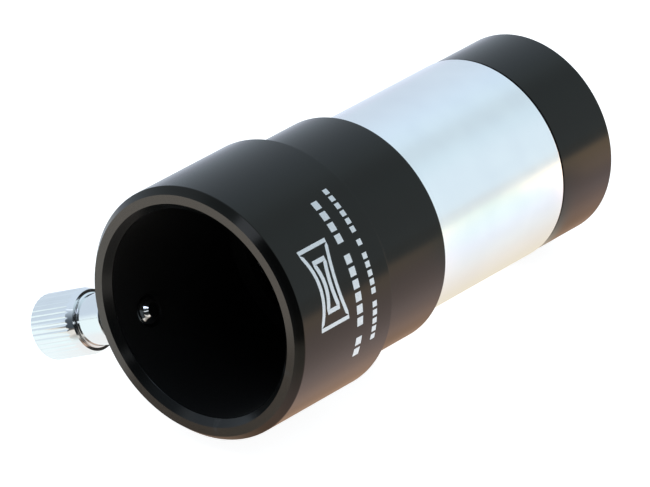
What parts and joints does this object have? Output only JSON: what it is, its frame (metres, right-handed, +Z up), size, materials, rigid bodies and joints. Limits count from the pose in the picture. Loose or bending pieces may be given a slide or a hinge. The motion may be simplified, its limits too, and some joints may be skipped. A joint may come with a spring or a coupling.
{
  "type": "barlow lens",
  "caption": "Short Barlow lens: black eyepiece holder with a knurled thumbscrew, bright nosepiece barrel and a screw-in cell holding an achromatic lens.",
  "frame": {"origin": "on the optical axis, in the plane of the holder's end face that seats against a focuser", "axes": "+Y along the optical axis from the eyepiece socket to the lens cell, +Z up with the Barlow lying on its side, thumbscrew towards -X and 24 degrees below horizontal"},
  "size_m": [0.054, 0.079, 0.0386],
  "materials": {
    "black_anodised": "black anodised, satin",
    "satin_chrome": "satin chrome plate",
    "flat_black": "matt black paint",
    "cell_black_anodised": "black anodised, satin",
    "ring_black_anodised": "black anodised, matt",
    "crown_glass": "polished, coated",
    "flint_glass": "polished, coated",
    "stud_chrome": "bright chrome plate",
    "knob_chrome": "bright chrome plate, straight knurl"
  },
  "bodies": {
    "holder": {"eyepiece_holder": "black_anodised", "nosepiece_barrel": "satin_chrome", "glare_stop": "flat_black"},
    "stud": {"thumbscrew_stud": "stud_chrome"},
    "knob": {"thumbscrew_knob": "knob_chrome"},
    "lens_pair": {"crown_lens": "crown_glass", "flint_lens": "flint_glass"},
    "cell": {"lens_cell": "cell_black_anodised", "retaining_ring": "ring_black_anodised"}
  },
  "joints": [
    {"name": "thumbscrew_travel", "type": "slide", "parent": "holder", "child": "stud", "axis": [-0.9135, 0, -0.4067], "range_m": [-0.0028, 0.0035]},
    {"name": "thumbscrew_turn", "type": "hinge", "parent": "stud", "child": "knob", "pos_m": [0, -0.0286, 0], "axis": [-0.9135, 0, -0.4067], "range_deg": [-1440.5, 1800.5]},
    {"name": "cell_travel", "type": "slide", "parent": "holder", "child": "lens_pair", "axis": [0, 1, 0], "range_m": [0, 0.0027]},
    {"name": "cell_turn", "type": "hinge", "parent": "lens_pair", "child": "cell", "pos_m": [0, 0, 0], "axis": [0, 1, 0], "range_deg": [0, 1620.5]}
  ],
  "couplings": [
    {"joint": "thumbscrew_turn", "follows": "thumbscrew_travel", "rad_per_m": 8976},
    {"joint": "cell_turn", "follows": "cell_travel", "rad_per_m": 10472}
  ]
}
